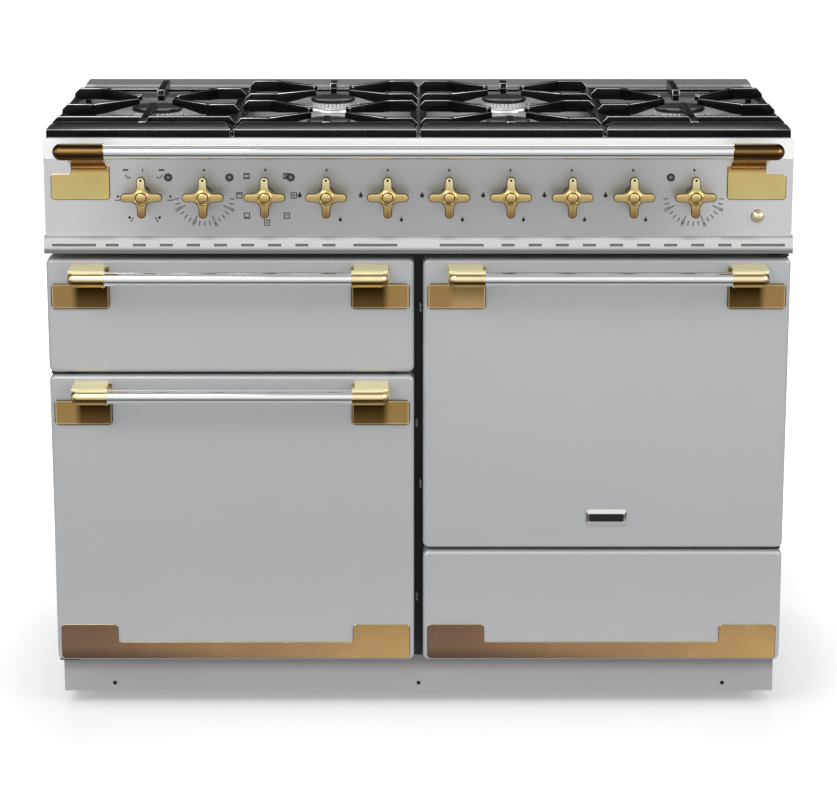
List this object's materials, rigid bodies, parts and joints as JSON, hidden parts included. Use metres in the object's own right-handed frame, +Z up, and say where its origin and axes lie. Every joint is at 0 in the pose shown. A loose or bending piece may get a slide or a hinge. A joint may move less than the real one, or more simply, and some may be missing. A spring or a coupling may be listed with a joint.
{
  "type": "range cooker",
  "caption": "Wide free-standing dual-fuel range cooker with gas hob, cast pan supports, cross knobs, drop-down grill door, side-opening oven doors and drawer.",
  "frame": {"origin": "on the floor, under the middle of the cooker with its front rail", "axes": "+Z up, +X to the right seen from the front, the doors face -Y"},
  "size_m": [1.092, 0.68, 0.905],
  "materials": {
    "door_paint": "satin light grey enamel paint",
    "liner_steel": "grey enamel, semi-gloss",
    "panel_steel": "fine satin grain",
    "polished_steel": "polished stainless",
    "hob_steel": "satin stainless",
    "brass": "brushed and lacquered brass",
    "dark_frame": "matt black enamel",
    "oven_enamel": "gloss speckled enamel",
    "galvanised": "galvanised sheet",
    "plinth_steel": "satin stainless",
    "cast_iron": "semi-gloss black enamelled cast iron",
    "aluminium": "cast and machined",
    "cap_enamel": "semi-matt black enamel",
    "lamp_dark": "smoked lens",
    "gas_brass": "plain brass and plated tube",
    "switch_plastic": "moulded",
    "wire_chrome": "bright plated",
    "element_sheath": "oxidised sheath",
    "seal_rubber": "matt",
    "foot_rubber": "matt, with steel stud",
    "motor_steel": "plain",
    "fan_steel": "pressed"
  },
  "bodies": {
    "root": {"base_frame": "galvanised", "casing": "galvanised", "front_frame": "dark_frame", "hob_tray": "hob_steel", "control_panel": "panel_steel", "vent_trim": "polished_steel", "rail_bar": "polished_steel", "rail_brackets": "brass", "indicator_lamps": "lamp_dark", "gas_manifold": "gas_brass", "control_switches": "switch_plastic", "grill_cavity": "oven_enamel", "left_oven_cavity": "oven_enamel", "right_oven_cavity": "oven_enamel", "burner_bases": "aluminium", "burner_caps": "cap_enamel", "heating_elements": "element_sheath", "oven_shelves": "wire_chrome", "grill_pan": "oven_enamel", "plinth": "plinth_steel", "door_seals": "seal_rubber", "hinge_brackets": "motor_steel", "drawer_runners": "galvanised", "terminal_box": "switch_plastic", "feet": "foot_rubber", "fan_motors": "motor_steel"},
    "grill_door": {"grill_door_panel": "door_paint", "grill_door_liner": "liner_steel", "grill_door_bar": "polished_steel", "grill_door_brackets": "brass"},
    "left_door": {"left_door_panel": "door_paint", "left_door_liner": "liner_steel", "left_door_bar": "polished_steel", "left_door_brackets": "brass", "left_kick_strip": "brass"},
    "right_door": {"right_door_panel": "door_paint", "right_door_liner": "liner_steel", "right_door_bar": "polished_steel", "right_door_brackets": "brass", "badge_plate": "polished_steel"},
    "drawer": {"drawer_front": "door_paint", "drawer_box": "liner_steel", "drawer_kick_strip": "brass"},
    "knob_01_body": {"knob_01": "brass"},
    "knob_02_body": {"knob_02": "brass"},
    "knob_03_body": {"knob_03": "brass"},
    "knob_04_body": {"knob_04": "brass"},
    "knob_05_body": {"knob_05": "brass"},
    "knob_06_body": {"knob_06": "brass"},
    "knob_07_body": {"knob_07": "brass"},
    "knob_08_body": {"knob_08": "brass"},
    "knob_09_body": {"knob_09": "brass"},
    "knob_10_body": {"knob_10": "brass"},
    "igniter": {"igniter_button": "brass"},
    "support_1": {"pan_support_1": "cast_iron"},
    "support_2": {"pan_support_2": "cast_iron"},
    "support_3": {"pan_support_3": "cast_iron"},
    "support_4": {"pan_support_4": "cast_iron"},
    "fan_left_wheel": {"fan_left": "fan_steel"},
    "fan_right_wheel": {"fan_right": "fan_steel"}
  },
  "joints": [
    {"name": "door_grill_hinge", "type": "hinge", "parent": "root", "child": "grill_door", "pos_m": [-0.2763, -0.26, 0.546], "axis": [1, 0, 0], "range_deg": [0, 90]},
    {"name": "door_left_hinge", "type": "hinge", "parent": "root", "child": "left_door", "pos_m": [-0.538, -0.252, 0.3115], "axis": [0, 0, -1], "range_deg": [0, 110]},
    {"name": "door_right_hinge", "type": "hinge", "parent": "root", "child": "right_door", "pos_m": [0.538, -0.252, 0.48825], "axis": [0, 0, 1], "range_deg": [0, 110]},
    {"name": "drawer_slide", "type": "slide", "parent": "root", "child": "drawer", "axis": [0, -1, 0], "range_m": [0, 0.38]},
    {"name": "fan_left_spin", "type": "hinge", "parent": "root", "child": "fan_left_wheel", "pos_m": [-0.2763, 0.183, 0.3115], "axis": [0, -1, 0], "continuous": true},
    {"name": "fan_right_spin", "type": "hinge", "parent": "root", "child": "fan_right_wheel", "pos_m": [0.2763, 0.183, 0.48825], "axis": [0, -1, 0], "continuous": true},
    {"name": "igniter_press", "type": "slide", "parent": "root", "child": "igniter", "axis": [0, 1, 0], "range_m": [0, 0.003], "stiffness_N_per_m": 600},
    {"name": "knob_01_turn", "type": "hinge", "parent": "root", "child": "knob_01_body", "pos_m": [-0.401, -0.298, 0.806], "axis": [0, -1, 0], "range_deg": [-135, 135]},
    {"name": "knob_02_turn", "type": "hinge", "parent": "root", "child": "knob_02_body", "pos_m": [-0.31189, -0.298, 0.806], "axis": [0, -1, 0], "range_deg": [-265, 0]},
    {"name": "knob_03_turn", "type": "hinge", "parent": "root", "child": "knob_03_body", "pos_m": [-0.22278, -0.298, 0.806], "axis": [0, -1, 0], "range_deg": [-315, 0]},
    {"name": "knob_04_turn", "type": "hinge", "parent": "root", "child": "knob_04_body", "pos_m": [-0.13367, -0.298, 0.806], "axis": [0, -1, 0], "range_deg": [0, 210]},
    {"name": "knob_05_turn", "type": "hinge", "parent": "root", "child": "knob_05_body", "pos_m": [-0.04456, -0.298, 0.806], "axis": [0, -1, 0], "range_deg": [0, 210]},
    {"name": "knob_06_turn", "type": "hinge", "parent": "root", "child": "knob_06_body", "pos_m": [0.04456, -0.298, 0.806], "axis": [0, -1, 0], "range_deg": [0, 210]},
    {"name": "knob_07_turn", "type": "hinge", "parent": "root", "child": "knob_07_body", "pos_m": [0.13367, -0.298, 0.806], "axis": [0, -1, 0], "range_deg": [0, 210]},
    {"name": "knob_08_turn", "type": "hinge", "parent": "root", "child": "knob_08_body", "pos_m": [0.22278, -0.298, 0.806], "axis": [0, -1, 0], "range_deg": [0, 210]},
    {"name": "knob_09_turn", "type": "hinge", "parent": "root", "child": "knob_09_body", "pos_m": [0.31189, -0.298, 0.806], "axis": [0, -1, 0], "range_deg": [0, 210]},
    {"name": "knob_10_turn", "type": "hinge", "parent": "root", "child": "knob_10_body", "pos_m": [0.401, -0.298, 0.806], "axis": [0, -1, 0], "range_deg": [-265, 0]},
    {"name": "pan_support_1_lift", "type": "slide", "parent": "root", "child": "support_1", "axis": [0, 0, 1], "range_m": [0, 0.15]},
    {"name": "pan_support_2_lift", "type": "slide", "parent": "root", "child": "support_2", "axis": [0, 0, 1], "range_m": [0, 0.15]},
    {"name": "pan_support_3_lift", "type": "slide", "parent": "root", "child": "support_3", "axis": [0, 0, 1], "range_m": [0, 0.15]},
    {"name": "pan_support_4_lift", "type": "slide", "parent": "root", "child": "support_4", "axis": [0, 0, 1], "range_m": [0, 0.15]}
  ]
}
